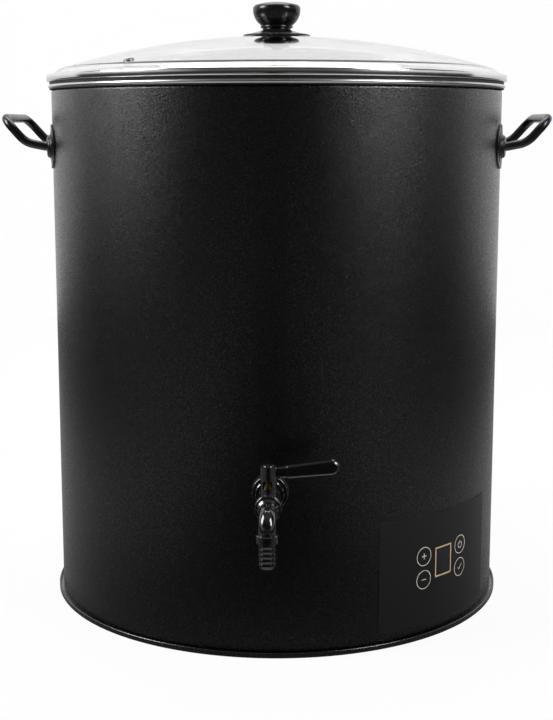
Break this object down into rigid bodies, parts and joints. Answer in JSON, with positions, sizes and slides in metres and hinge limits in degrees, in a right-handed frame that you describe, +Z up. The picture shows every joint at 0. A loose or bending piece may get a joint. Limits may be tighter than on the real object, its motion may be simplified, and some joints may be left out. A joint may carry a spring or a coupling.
{
  "type": "candle wax melter",
  "caption": "Round electric wax melting pot with a glass lid, two rod handles, a touch panel low on the shell and a front draw-off ball valve with a lever and a barbed spout.",
  "frame": {"origin": "on the pot's axis, in the plane of the base ring's rest face on the table", "axes": "+Z up along the pot's axis, -Y to the front where the tap is, +X to the right as seen from the front"},
  "size_m": [0.505, 0.5207, 0.5564],
  "materials": {
    "shell_coat": "textured satin powder coat",
    "pot_steel": "brushed",
    "seal_black": "matt",
    "plain_steel": "mill finish",
    "zinc_steel": "zinc plated",
    "handle_coat": "satin powder coat",
    "tap_plate": "gloss black plating",
    "tap_brass": "machined",
    "ball_chrome": "polished",
    "ptfe": "matt",
    "silicone_red": "matt",
    "panel_film": "satin printed film",
    "display_tint": "tinted gloss",
    "black_plastic": "moulded matt",
    "circuit_board": "solder mask",
    "pale_plastic": "moulded matt",
    "relay_blue": "moulded gloss",
    "heater_alloy": "cast",
    "element_sheath": "heat tinted",
    "mica_band": "mica and steel band",
    "glass_wool": "glass felt",
    "lid_glass": "clear tempered",
    "lid_steel": "polished",
    "knob_black": "gloss moulded",
    "print_gold": "metallic print",
    "print_pale": "screen print"
  },
  "bodies": {
    "casing": {"outer_shell": "shell_coat", "inner_pot": "pot_steel", "pot_floor": "pot_steel", "rim_seal": "seal_black", "base_ring": "shell_coat", "bottom_plate": "plain_steel", "base_screws": "zinc_steel", "handle_left": "handle_coat", "handle_right": "handle_coat", "handle_roses_left": "handle_coat", "handle_roses_right": "handle_coat", "handle_saddles": "zinc_steel", "handle_nuts": "zinc_steel", "tap_body": "tap_plate", "tap_gasket_outer": "seal_black", "tap_gasket_inner": "silicone_red", "tap_spacer": "zinc_steel", "tap_back_nut": "tap_brass", "ball_seats": "ptfe", "packing_ring": "ptfe", "packing_nut": "tap_brass", "spout_elbow": "tap_plate", "spout_collar": "tap_plate", "spout_barb": "tap_plate", "panel_film": "panel_film", "display_window": "display_tint", "control_housing": "black_plastic", "control_board": "circuit_board", "display_module": "pale_plastic", "key_springs": "zinc_steel", "housing_nuts": "zinc_steel", "power_board": "circuit_board", "board_posts": "zinc_steel", "power_relay": "relay_blue", "terminal_block": "pale_plastic", "cord_gland": "black_plastic", "gland_cap": "black_plastic", "gland_nut": "black_plastic", "heater_plate": "heater_alloy", "heating_element": "element_sheath", "side_heater": "mica_band", "side_insulation": "glass_wool", "bottom_insulation": "glass_wool", "heat_shield": "plain_steel", "shield_studs": "zinc_steel", "shield_nuts": "zinc_steel", "thermal_cutout": "black_plastic", "temperature_probe": "zinc_steel"},
    "valve": {"valve_ball": "ball_chrome", "valve_stem": "tap_brass", "tap_lever": "tap_plate", "lever_screw": "tap_plate"},
    "lid": {"lid_glass": "lid_glass", "lid_band": "lid_steel", "lid_gasket": "seal_black", "lid_knob": "knob_black", "knob_seat": "knob_black", "knob_screw": "zinc_steel", "knob_washers": "black_plastic", "steam_vent": "lid_steel"}
  },
  "joints": [
    {"name": "lever_turn", "type": "hinge", "parent": "casing", "child": "valve", "pos_m": [0, -0.25, 0.144], "axis": [0, 0, 1], "range_deg": [-90, 0]},
    {"name": "lid_lift", "type": "slide", "parent": "casing", "child": "lid", "axis": [0, 0, 1], "range_m": [0, 0.3]}
  ]
}
